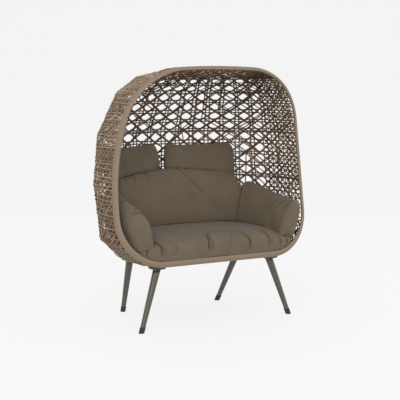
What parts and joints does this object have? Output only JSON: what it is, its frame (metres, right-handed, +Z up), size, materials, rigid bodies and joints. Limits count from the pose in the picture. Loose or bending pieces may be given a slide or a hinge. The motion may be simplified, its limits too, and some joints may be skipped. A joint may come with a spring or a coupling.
{
  "type": "double egg chair",
  "caption": "Double egg chair: an open cane weave shell on bent rods behind a bound oval mouth hoop, with splayed tapered legs and loose seat, back, arm and head cushions.",
  "frame": {"origin": "middle of the footprint of the whole chair, on the floor", "axes": "+Z up, -Y out of the open front, +X to the right of the chair as seen from its front"},
  "size_m": [1.3014, 0.7311, 1.508],
  "materials": {
    "weave_strand": "flat-backed resin cane, brown, matt",
    "mouth_strap": "flat resin strap wound tightly, brown, satin",
    "seat_weave": "close-woven resin cane, dark brown, matt",
    "frame": "powder coated, dark brown",
    "plate": "powder coated, dark brown",
    "leg": "powder coated, bronze, satin",
    "bolts": "dark zinc",
    "foot_cap": "black, matt",
    "cushion_cover": "plain woven canvas, taupe"
  },
  "bodies": {
    "root": {"arm_cushion_left": "cushion_cover", "arm_cushion_right": "cushion_cover", "back_cushion": "cushion_cover", "base_tube": "frame", "cap_back_left": "foot_cap", "cap_back_right": "foot_cap", "cap_front_left": "foot_cap", "cap_front_right": "foot_cap", "cross_rail_back": "frame", "cross_rail_front": "frame", "frame_plates": "plate", "headrest_left": "cushion_cover", "headrest_right": "cushion_cover", "leg_back_left": "leg", "leg_back_right": "leg", "leg_bolts": "bolts", "leg_front_left": "leg", "leg_front_right": "leg", "mouth_sleeve_left": "mouth_strap", "mouth_sleeve_lower": "mouth_strap", "mouth_sleeve_right_shoulder": "mouth_strap", "mouth_tube": "frame", "rail_left": "frame", "rail_right": "frame", "rib_left_back": "frame", "rib_left_side": "frame", "rib_right_back": "frame", "rib_right_side": "frame", "rod_crown": "frame", "rod_hip": "frame", "rod_roof": "frame", "rod_shoulder": "frame", "rod_skirt": "frame", "rod_waist": "frame", "seat_cushion": "cushion_cover", "seat_panel": "seat_weave", "seat_slats": "frame", "skirt_band": "mouth_strap", "weave_hip_back": "weave_strand", "weave_hip_left_corner": "weave_strand", "weave_hip_left_side": "weave_strand", "weave_hip_right_corner": "weave_strand", "weave_hip_right_side": "weave_strand", "weave_roof_back": "weave_strand", "weave_roof_left_corner": "weave_strand", "weave_roof_left_side": "weave_strand", "weave_roof_right_corner": "weave_strand", "weave_roof_right_side": "weave_strand", "weave_shoulder_back": "weave_strand", "weave_shoulder_left_corner": "weave_strand", "weave_shoulder_left_side": "weave_strand", "weave_shoulder_right_corner": "weave_strand", "weave_shoulder_right_side": "weave_strand", "weave_waist_back": "weave_strand", "weave_waist_left_corner": "weave_strand", "weave_waist_left_side": "weave_strand", "weave_waist_right_corner": "weave_strand", "weave_waist_right_side": "weave_strand"}
  },
  "joints": []
}
